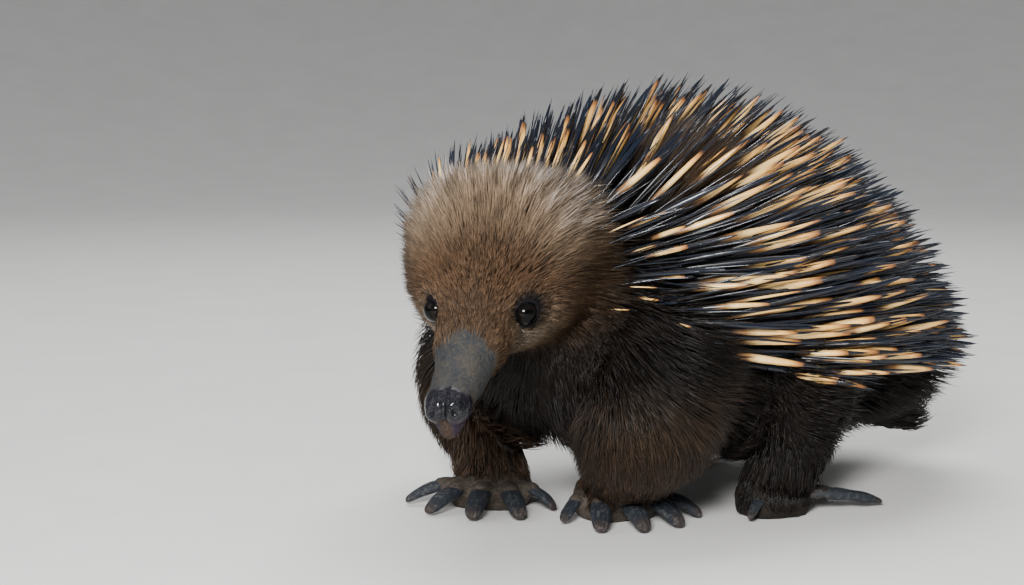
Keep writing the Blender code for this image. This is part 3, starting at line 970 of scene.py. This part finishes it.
def finish_skin(mesh):
    """The skin's markings and bare places, and the piece itself."""
    corners = corners_of(mesh)
    ahead, side, up = head_place(corners)
    head = near_head(corners, 0.0)
    ragged = 0.0010 * waver(corners, 0.0016, 31)[:, 0]
    under = smooth_step(-0.0004, 0.0014, -up) * fall(0.0016, 0.0028, np.abs(side))
    at_tip = smooth_step(-0.0012, 0.0012, ahead - NOSE_FROM + ragged) * head
    nose = at_tip * (1 - under)
    set_values(mesh, {
        **markings(corners),
        "beak": smooth_step(-0.0070, -0.0025, ahead - bare_edge(side) + ragged) * head,
        "lip": at_tip * under,
        "nose": nose,
        "wet": nose * smooth_step(-0.0032, 0.0002, up),
        "lid": lid_share(corners, ragged),
        "paw": paw_share(corners),
    })
    piece = finished_piece("skin", mesh, skin_finish())
    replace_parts(piece, *SKIN_NODES)


def make_eyes():
    """Balls with a clear bulge over the iris, looking out and ahead."""
    finish = eye_finish()
    for side, centre in EYES.items():
        cage = bmesh.new()
        bmesh.ops.create_icosphere(cage, subdivisions=5, radius=EYE_RADIUS)
        mesh = mesh_of(cage, "eye")
        corners = corners_of(mesh)
        away = np.arccos(np.clip(unit(corners) @ eye_axis(side), -1, 1))
        move_corners(mesh, centre + corners * column(1 + IRIS_BULGE * hump((away, 0.62))))
        mesh.shade_smooth()
        set_values(mesh, {"out": away / 1.6})
        piece = finished_piece("eyeball_" + side, mesh, finish)
        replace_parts(piece, "eye_" + side)


def make_claw(name, paw, finish):
    """A claw made round, with values along and across it for its grooves."""
    cage = node_cage(name)
    bmesh.ops.join_triangles(cage, faces=cage.faces, angle_face_threshold=0.6, angle_shape_threshold=3.0)
    item = link(bpy.data.objects.new("round", mesh_of(cage, name)))
    subdivision = item.modifiers.new("Round", "SUBSURF")
    subdivision.levels = subdivision.render_levels = 2
    mesh = settled(item)
    corners, _, normals = arrays_of(mesh)
    offset = (corners - paw) * LEVEL
    reach = np.linalg.norm(offset, axis=1)
    heading = unit(offset[np.argmax(reach)] - offset[np.argmin(reach)])
    along = offset @ heading
    across = offset @ np.array([-heading[1], heading[0], 0.0])
    share = (along - along.min()) / np.ptp(along)
    set_values(mesh, {"along": share, "across": (across - across.mean()) / np.ptp(across)})
    move_corners(mesh, corners + normals * column(0.00022 * waver(corners, 0.0022, 71)[:, 0]))
    mesh.shade_smooth()
    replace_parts(finished_piece("horn_" + name, mesh, finish), name)


def make_claws():
    finish = claw_finish()
    for foot, paw in zip(FEET, PAWS):
        for toe in range(1, TOES + 1):
            make_claw(f"claw_{foot}_{toe}", paw, finish)


# Coat

class Skin:
    """The finished skin as arrays, for hairs to be rooted on, with the solids' outline round it."""

    def __init__(self, mesh):
        self.corners, self.triangles, self.normals = arrays_of(mesh)
        a, b, c = (self.corners[self.triangles[:, place]] for place in range(3))
        self.middles = (a + b + c) / 3
        self.areas = np.linalg.norm(np.cross(b - a, c - a), axis=1) / 2
        gathered = bmesh.new()
        for node in SKIN_NODES:
            grown_node(gathered, node)
        outline = fused(gathered, OUTLINE_VOXEL)
        corners, triangles, _ = arrays_of(outline)
        self.outline = BVHTree.FromPolygons(corners.tolist(), triangles.tolist())
        bpy.data.meshes.remove(outline)
        self.flow = coat_field(mesh)

    def scatter(self, density, count):
        """Roots spread over the skin by a density, with the normals and the coat's way there."""
        weights = self.areas * density
        chosen = RNG.choice(len(weights), size=count, p=weights / weights.sum())
        u, v = RNG.random((2, count))
        folded = u + v > 1
        u[folded], v[folded] = 1 - u[folded], 1 - v[folded]
        shares = np.stack([1 - u - v, u, v], axis=1)
        picked = self.triangles[chosen]
        sources = (self.corners, self.normals, self.flow)
        roots, normals, field = (np.einsum("ij,ijk->ik", shares, values[picked]) for values in sources)
        return roots, unit(normals), unit(field)

    def past_outline(self, place):
        """How far a place lies outside the outline, and the way out there."""
        nearest, normal, _, _ = self.outline.find_nearest(place)
        return (place - nearest).dot(normal), normal

    def clearance(self, roots, directions, most):
        """How far it is from each root along its direction to the outline, up to most."""
        found = np.full(len(roots), most)
        for index, (root, direction) in enumerate(zip(roots, directions)):
            start = Vector(root)
            if self.past_outline(start)[0] > 0:
                found[index] = 0.0
                continue
            hit, _, _, reach = self.outline.ray_cast(start, Vector(direction), most)
            if hit is not None:
                found[index] = reach
        return found

    def held_in(self, points, margins):
        """The points, with those that pass the outline by more than their margin drawn back to it."""
        held = points.copy()
        for index, (point, margin) in enumerate(zip(points, margins)):
            past, normal = self.past_outline(Vector(point))
            if past > margin:
                held[index] -= np.array(normal) * (past - margin)
        return held


def spaced(roots, spacing):
    """The places in the list of the roots that don't crowd one kept before them."""
    cells = {}
    kept = []
    steps = [(dx, dy, dz) for dx in (-1, 0, 1) for dy in (-1, 0, 1) for dz in (-1, 0, 1)]
    for index, place in enumerate(np.floor(roots / spacing).astype(int)):
        around = [other for step in steps for other in cells.get(tuple(place + step), ())]
        if not around or np.linalg.norm(roots[around] - roots[index], axis=1).min() > spacing:
            cells.setdefault(tuple(place), []).append(index)
            kept.append(index)
    return kept


def tree_of(points):
    tree = KDTree(len(points))
    for index, point in enumerate(points):
        tree.insert(point, index)
    tree.balance()
    return tree


def climbing(corners, normals, pairs, start, end):
    """The way up a height over a mesh that is 0 at the start, 1 at the end and even between."""
    first, second = pairs.T
    links = np.zeros((len(corners), len(corners)))
    links[first, second] = links[second, first] = -1
    np.fill_diagonal(links, -links.sum(axis=1))
    links[start | end] = 0
    links[start | end, start | end] = 1
    height = np.linalg.solve(links, end.astype(float))
    step = corners[second] - corners[first]
    climb = step * column((height[second] - height[first]) / dot(step, step))
    slope = np.zeros_like(corners)
    np.add.at(slope, first, climb)
    np.add.at(slope, second, climb)
    return eased(along_surface(slope, normals), pairs, 3)


def coat_field(mesh):
    """The way the coat lies over the skin, free of whorls: from the beak to the tail and the paws."""
    gathered = bmesh.new()
    gathered.from_mesh(mesh)
    coarse = fused(gathered, FLOW_VOXEL)
    corners, _, normals = arrays_of(coarse)
    pairs = edge_pairs(coarse)
    bpy.data.meshes.remove(coarse)
    ahead, side, up = head_place(corners)
    start = (ahead > BARE_FROM) & (np.hypot(side, up) < 0.030)
    end = (corners[:, 2] < 0.004) | (np.linalg.norm(corners - middle_of("tail"), axis=1) < 0.014)
    slope = climbing(corners, normals, pairs, start, end)
    tree = tree_of(corners)
    places = corners_of(mesh)
    flow = np.empty_like(places)
    for index, place in enumerate(places):
        near = tree.find_n(place, 4)
        shares = 1 / (np.array([gap for _, _, gap in near]) + 0.001) ** 2
        flow[index] = shares @ slope[[number for _, number, _ in near]]
    return unit(flow)


def coat_flow(roots, normals, field, legs=1.0):
    """The way the coat lies: along the field on the head, to the rear on the trunk, down the legs."""
    lift = 0.20 * smooth_step(0.02, 0.08, np.abs(roots[:, 0])) * smooth_step(0.045, 0.080, roots[:, 2])
    rear = rearward(roots) + np.outer(lift, UP)
    rear -= normals * column(dot(rear, normals))
    on_leg = legs * leg_share(roots)
    off_front = smooth_step(-0.95, -0.35, dot(normals, rearward(roots)))
    trunk = smooth_step(0.060, 0.110, from_eyes(roots)) * (1 - on_leg) * off_front
    flow = field * column(1 - 0.7 * trunk) + rear * column(3.0 * trunk)
    flow += leg_fall(roots) * column(1.5 * on_leg)
    return along_surface(flow + 0.08 * waver(roots, 0.014, 41), normals)


def leg_fall(roots):
    """Down each leg, swept to the rear at the back of it, and out over the toes at the paw."""
    which, _ = leg_place(roots)
    height = roots[:, 2]
    behind = smooth_step(-0.012, 0.030, roots[:, 1] - LEG_MIDDLES[which, 1])
    swept = rearward(roots) * column(LEG_SWEEP[which] * behind * smooth_step(0.018, 0.040, height))
    out = unit((roots - PAWS[which]) * LEVEL) * column(0.5 * fall(0.008, 0.022, height))
    return swept + out - UP


def leg_share(points):
    """1 where hair falls down a leg, 0 where the body's own coat covers it."""
    which, gap = leg_place(points)
    top = LEG_COAT_TOP[which]
    return fall(*ON_LEG, gap) * fall(top, top + LEG_COAT_BLEND, points[:, 2])


def curve_point(start, bend, end, share):
    rest = 1 - share
    return rest * rest * start + 2 * share * rest * bend + share * share * end


def clumped(roots, tips, members, pull):
    """Draw tips together in small clumps of about so many members."""
    leaders = RNG.permutation(len(roots))[:max(len(roots) // members, 1)]
    tree = tree_of(roots[leaders])
    nearest = np.array([leaders[tree.find(root)[1]] for root in roots])
    reach = tips - roots
    drawn = mix(tips, roots[nearest] + reach[nearest], pull)
    return roots + unit(drawn - roots) * np.linalg.norm(reach, axis=1, keepdims=True)


def baking_place(roots):
    """Each root's place on an unwrap of the skin: round and along the trunk, the head or a leg."""
    share, aside, height = trunk_place(roots)
    ahead, side, up = head_place(roots)
    which, _ = leg_place(roots)
    offset = roots[:, :2] - LEG_MIDDLES[which]
    on_leg = leg_share(roots) > 0.5
    on_head = (from_eyes(roots) < HEAD_MAP_REACH) & (ahead > HEAD_MAP_FROM)
    round_body = 0.02 + 0.96 * np.where(on_head, turn_share(side, up), turn_share(height, aside))
    round_leg = 0.02 + 0.24 * which + 0.22 * turn_share(offset[:, 1], offset[:, 0])
    along_trunk = 0.02 + 0.44 * (share + 1.1) / 2.2
    along_head = 0.50 + 0.23 * (ahead - HEAD_MAP_FROM) / 0.130
    along_leg = 0.77 + 0.20 * np.clip(roots[:, 2] / 0.085, 0, 1)
    u = np.where(on_leg, round_leg, round_body)
    v = np.where(on_leg, along_leg, np.where(on_head, along_head, along_trunk))
    return np.stack([u, np.clip(v, 0.01, 0.99)], axis=1)


def shaft_pattern(sides, rings):
    """The triangles of one closed tapered shaft."""
    faces = []
    for ring in range(rings - 1):
        for side in range(sides):
            a = ring * sides + side
            b = ring * sides + (side + 1) % sides
            faces += [(a, b, b + sides), (a, b + sides, a + sides)]
    last = (rings - 1) * sides
    faces += [(last + side, last + (side + 1) % sides, sides * rings) for side in range(sides)]
    faces += [(0, side + 1, side) for side in range(1, sides - 1)]
    return np.array(faces)


def grow(name, finish, shafts, profile, sides):
    """Coat pieces from shafts: start, bend and end points, radius, and values for the finish."""
    rings = len(profile) - 1
    pattern = shaft_pattern(sides, rings)
    each = sides * rings + 1
    pieces = math.ceil(len(shafts["start"]) / (PIECE_TRIANGLES // len(pattern)))
    order = np.argsort(shafts["start"][:, 1], kind="stable")
    for number, chosen in enumerate(np.array_split(order, pieces), 1):
        part = {key: value[chosen] for key, value in shafts.items()}
        corners, along, spots = shaft_corners(part, profile, sides, each)
        first = each * np.arange(len(chosen))
        triangles = (pattern[None] + first[:, None, None]).reshape(-1, 3)
        label = f"{name}_{number}" if pieces > 1 else name
        mesh = mesh_from(label, corners, triangles)
        values = {key: np.repeat(part[key], each) for key in part if key not in SHAFT_SHAPE}
        set_values(mesh, {**values, "along": along})
        layer = mesh.uv_layers.new(name="OFBake")
        layer.data.foreach_set("uv", spots[triangles.ravel()].astype(np.float32).ravel())
        finished_piece(label, mesh, finish)


def shaft_corners(part, profile, sides, each):
    """The corners of every shaft, the share along it at each, and its place on the baking map."""
    start, bend, end, radius = (part[key] for key in SHAFT_SHAPE)
    total = len(start)
    corners = np.empty((total, each, 3))
    along = np.empty((total, each))
    spots = np.empty((total, each, 2))
    home = baking_place(start)
    facing = unit(RNG.normal(size=(total, 3)))
    for ring, (share, fullness) in enumerate(profile[:-1]):
        centre = curve_point(start, bend, end, share)
        tangent = unit((1 - share) * (bend - start) + share * (end - bend))
        across = unit(np.cross(tangent, facing))
        over = np.cross(tangent, across)
        for side in range(sides):
            angle = 2 * math.pi * side / sides
            spread = across * math.cos(angle) + over * math.sin(angle)
            place = ring * sides + side
            corners[:, place] = centre + spread * column(radius * fullness)
            along[:, place] = share
            spots[:, place] = home + PATCH * np.array([side / sides - 0.5, share - 0.5])
    corners[:, -1] = end
    along[:, -1] = 1.0
    spots[:, -1] = home + PATCH * np.array([0.0, 0.5])
    corners[..., 2] = np.maximum(corners[..., 2], FLOOR_GAP)
    return corners.reshape(-1, 3), along.ravel(), spots.reshape(-1, 2)


def hair_shafts(skin, scattered, length, thickness, most_depth, clump, pull):
    """Hairs that leave the skin steeply, lie over along the flow and end at the outline."""
    roots, normals, field = scattered
    count = len(roots)
    flow = coat_flow(roots, normals, field)
    depth = skin.clearance(roots, normals, most_depth)
    length = length * RNG.uniform(0.72, 1.12, count)
    rise = np.clip((depth + ENVELOPE_MARGIN) / length, 0.08, 0.85)
    rise *= RNG.uniform(0.78, 1.08, count)
    lean = np.sqrt(1 - rise ** 2)
    flow = unit(flow + 0.10 * RNG.normal(size=flow.shape))
    tips = roots + (flow * column(lean) + normals * column(rise)) * column(length)
    tips = clumped(roots, tips, clump, pull)
    tips = skin.held_in(tips, RNG.uniform(-0.0024, 0.0012, count) * np.clip(depth / 0.006, 0.1, 1))
    steep = unit(flow * column(lean) + normals * column(rise + 0.25))
    bends = roots + steep * column(0.52 * np.linalg.norm(tips - roots, axis=1))
    shafts = {"start": roots - normals * 0.0006, "bend": bends, "end": tips}
    shafts["radius"] = thickness * RNG.uniform(0.75, 1.25, count) / 2
    locks = read_off(LOCK_CONTRAST, from_eyes(roots)) * waver(roots, 0.0015, 61)[:, 0]
    shafts["tint"] = np.clip(0.5 + 0.20 * RNG.normal(size=count) + locks, 0, 1)
    shafts.update(markings(roots))
    return shafts


def off_eyes(points, margin):
    """0 on the eyes and lids, 1 away from them."""
    free = np.ones(len(points))
    for eye in EYES.values():
        free *= smooth_step(margin, margin + 0.0015, np.linalg.norm(points - eye, axis=1))
    return free


def bare_edge(side):
    """How far ahead of the eyes the fur ends: least along the top of the beak."""
    return BARE_FROM + 0.0042 * np.clip(np.abs(side - 0.001) / 0.008, 0, 1)


def head_fur_places(points):
    """1 on the furred head and neck, 0 on the beak, the eyes and the legs."""
    ahead, side, _ = head_place(points)
    bare = smooth_step(-0.0060, 0.0045, ahead - bare_edge(side) + 0.0018 * waver(points, 0.003, 32)[:, 0])
    return (1 - bare) ** 1.6 * (1 - leg_share(points)) * off_eyes(points, EYE_RADIUS * 1.05)


def shoulder_tuft(points):
    """1 on the tuft of brown fur that breaks the spines behind the left cheek."""
    return fall(0.010, 0.020, np.linalg.norm(points - TUFT, axis=1))


def make_head_fur(skin, finish):
    """Very short hair on the face, and longer hair towards the crown and the neck."""
    points = skin.middles
    distance = from_eyes(points)
    where = head_fur_places(points)
    crown = smooth_step(0.024, 0.034, distance)
    end = fall(0.0, 0.012, distance - mix(*CROWN_END, head_top(points)))
    end = np.maximum(end, shoulder_tuft(points))
    for name, density, count, thickness, depth in (
        ("fur_face", where * (1 - crown), 19000, 0.00030, 0.014),
        ("fur_crown", where * crown * end, 29000, 0.00036, 0.030),
    ):
        scattered = skin.scatter(density, count)
        roots = scattered[0]
        length = read_off(HEAD_HAIR_LENGTH, from_eyes(roots)) + 0.016 * shoulder_tuft(roots)
        shafts = hair_shafts(skin, scattered, length, thickness, depth, 7, 0.32)
        grow(name, finish, shafts, HAIR, 3)


def make_body_fur(skin, finish):
    """Long dark hair on the shoulders, shorter hair between the spines and hair below."""
    points = skin.middles
    off_paws = np.maximum(smooth_step(0.020, 0.027, points[:, 2]), points[:, 1] > TAIL_FROM)
    where = smooth_step(0.044, 0.058, from_eyes(points)) * head_fur_places(points) * off_paws
    _, aside, height = trunk_place(points)
    under = smooth_step(0.30, 0.80, -height / np.hypot(aside, height))
    spiny = np.maximum(spine_places(points, SHOULDER_SPINES), smooth_step(-0.015, 0.015, points[:, 1]))
    for name, density, count, length, thickness, depth, profile in (
        ("fur_shoulder", where * (1 - under) * (1 - spiny), 8500, 0.026, 0.00044, 0.034, LONG_HAIR),
        ("fur_back", where * (1 - under) * spiny, 16000, 0.012, 0.00050, 0.0042, HAIR),
        ("fur_belly", where * under, 6500, 0.018, 0.00046, 0.016, HAIR),
    ):
        scattered = skin.scatter(density, count)
        shafts = hair_shafts(skin, scattered, np.full(count, length), thickness, depth, 8, 0.25)
        grow(name, finish, shafts, profile, 3)


def make_leg_fur(skin, finish):
    """Hair that falls straight down each leg, shortest at the paw."""
    points = skin.middles
    which, _ = leg_place(points)
    share = leg_share(points)
    for number, leg in enumerate(LEGS):
        count = 9000 if leg == "foreleg_left" else 4500
        low = LEG_BARE.get(leg, HIND_BARE)
        wrist = smooth_step(low, low + 0.005, points[:, 2])
        scattered = skin.scatter(share * (which == number) * wrist, count)
        length = read_off(LEG_HAIR_LENGTH, scattered[0][:, 2])
        shafts = hair_shafts(skin, scattered, length, 0.00044, 0.016, 9, 0.34)
        grow("fur_" + leg, finish, shafts, LONG_HAIR, 3)


def head_top(points):
    """1 above the head's own middle line, 0 at its sides."""
    _, side, up = head_place(points)
    return smooth_step(0.10, 0.85, up / np.hypot(side, up))


def spine_places(points, starts):
    """Where spines grow: from the nape back over the trunk, not on the face, lower legs or belly."""
    ahead, _, _ = head_place(points)
    start = smooth_step(0.0, 0.010, from_eyes(points) - mix(*starts, head_top(points)))
    flank = smooth_step(0.0, 0.010, points[:, 2] - read_off(SPINE_LOWEST, points[:, 1]))
    flank *= smooth_step(-0.80, -0.45, trunk_outward(points)[:, 2])
    return start * flank * (1 - leg_share(points)) * (ahead < -0.012) * (1 - 0.85 * shoulder_tuft(points))


def spine_shafts(skin, starts, count, spacing, thickness, pale_share):
    """Spines raised off the coat, steepest on top of the nape, that end at the outline."""
    roots, normals, field = skin.scatter(spine_places(skin.middles, starts), count)
    kept = spaced(roots, spacing)
    roots, field = roots[kept], field[kept]
    count = len(kept)
    normals = unit(normals[kept] + 1.2 * trunk_outward(roots))
    flow = coat_flow(roots, normals, field, 0.0)
    away = from_eyes(roots)
    high = smooth_step(0.2, 0.8, normals[:, 2])
    rise = mix(read_off(SPINE_RISE_SIDE, away), read_off(SPINE_RISE_TOP, away), high)
    rise += 0.05 * RNG.normal(size=count)
    directions = unit(flow * column(np.cos(rise)) + normals * column(np.sin(rise)))
    scatter = 0.05 * RNG.normal(size=directions.shape)
    directions = unit(directions + scatter + 0.07 * waver(roots, 0.02, 51))
    room = skin.clearance(roots, directions, 0.066)
    length = np.clip(room * RNG.uniform(0.84, 1.04, count), 0.013, read_off(SPINE_LONGEST, away))
    tips = roots + directions * column(length)
    sway = along_surface(flow, directions) * column(0.04 * length * RNG.uniform(-0.4, 1.0, count))
    shafts = {"start": roots - normals * 0.001, "bend": (roots + tips) / 2 - sway, "end": tips}
    size = read_off(SPINE_SIZE, away) * np.clip(length / 0.036, 0.60, 1.0)
    shafts["radius"] = thickness / 2 * RNG.uniform(0.72, 1.12, count) * size
    shafts["tint"] = RNG.random(count)
    share = pale_share * read_off(SPINE_PALE, away)
    share *= mix(read_off(PALE_TO_RUMP, roots[:, 1]), 1.1, high)
    shafts["pale"] = (RNG.random(count) < share).astype(float)
    return shafts


def make_spines(skin, finish):
    """Stout banded spines, and thin dark ones between."""
    for name, starts, count, spacing, thickness, pale_share in (
        ("spines_stout", NAPE_SPINES, 12000, 0.0057, 0.0036, 0.88),
        ("spines_thin", SHOULDER_SPINES, 16000, 0.0036, 0.0013, 0.10),
    ):
        shafts = spine_shafts(skin, starts, count, spacing, thickness, pale_share)
        grow(name, finish, shafts, SPINE, 6)


# Stage

def make_stage():
    """A wide pale floor that curves up far from the animal, so that no edge of it shows."""
    cage = bmesh.new()
    bmesh.ops.create_grid(cage, x_segments=FLOOR_CUTS, y_segments=FLOOR_CUTS, size=FLOOR_SIZE)
    for vert in cage.verts:
        vert.co.z = FLOOR_CURVE * max(vert.co.xy.length - FLOOR_FLAT, 0.0) ** 2
    mesh = mesh_of(cage, "floor")
    mesh.shade_smooth()
    mesh.materials.append(floor_finish())
    link(bpy.data.objects.new("floor", mesh))
    world = bpy.data.worlds.new("studio")
    world.use_nodes = True
    background = world.node_tree.nodes["Background"]
    background.inputs["Color"].default_value = SKY
    background.inputs["Strength"].default_value = SKY_LIGHT
    bpy.context.scene.world = world


def put_round(item, azimuth, elevation, distance):
    """Put an item round the camera's aim, facing it. Azimuth 0 is to the -Y side and 90 to the +X side."""
    turn, height = math.radians(azimuth), math.radians(elevation)
    level = math.cos(height)
    way = Vector((math.sin(turn) * level, -math.cos(turn) * level, math.sin(height)))
    place = Vector(CAMERA_AIM) + way * distance
    item.location = place
    item.rotation_euler = (Vector(CAMERA_AIM) - place).to_track_quat("-Z", "Y").to_euler()


def make_lights():
    """A soft key beside the camera, a broad fill from the other side and a light from above."""
    for name, azimuth, elevation, distance, power, size in LIGHTS:
        light = bpy.data.lights.new(name, "AREA")
        light.energy = power
        light.size = size
        put_round(link(bpy.data.objects.new(name, light)), azimuth, elevation, distance)


def make_camera():
    camera = bpy.data.cameras.new("camera")
    camera.lens = CAMERA_LENS
    camera.sensor_width = SENSOR_WIDTH
    camera.clip_start = 0.01
    item = link(bpy.data.objects.new("camera", camera))
    put_round(item, CAMERA_AZIMUTH, CAMERA_ELEVATION, CAMERA_DISTANCE)
    bpy.context.scene.camera = item


def main():
    mesh = make_skin()
    skin = Skin(mesh)
    finish_skin(mesh)
    make_eyes()
    make_claws()
    fur = fur_finish()
    make_head_fur(skin, fur)
    make_body_fur(skin, fur)
    make_leg_fur(skin, fur)
    make_spines(skin, spine_finish())
    make_stage()
    make_lights()
    make_camera()


main()
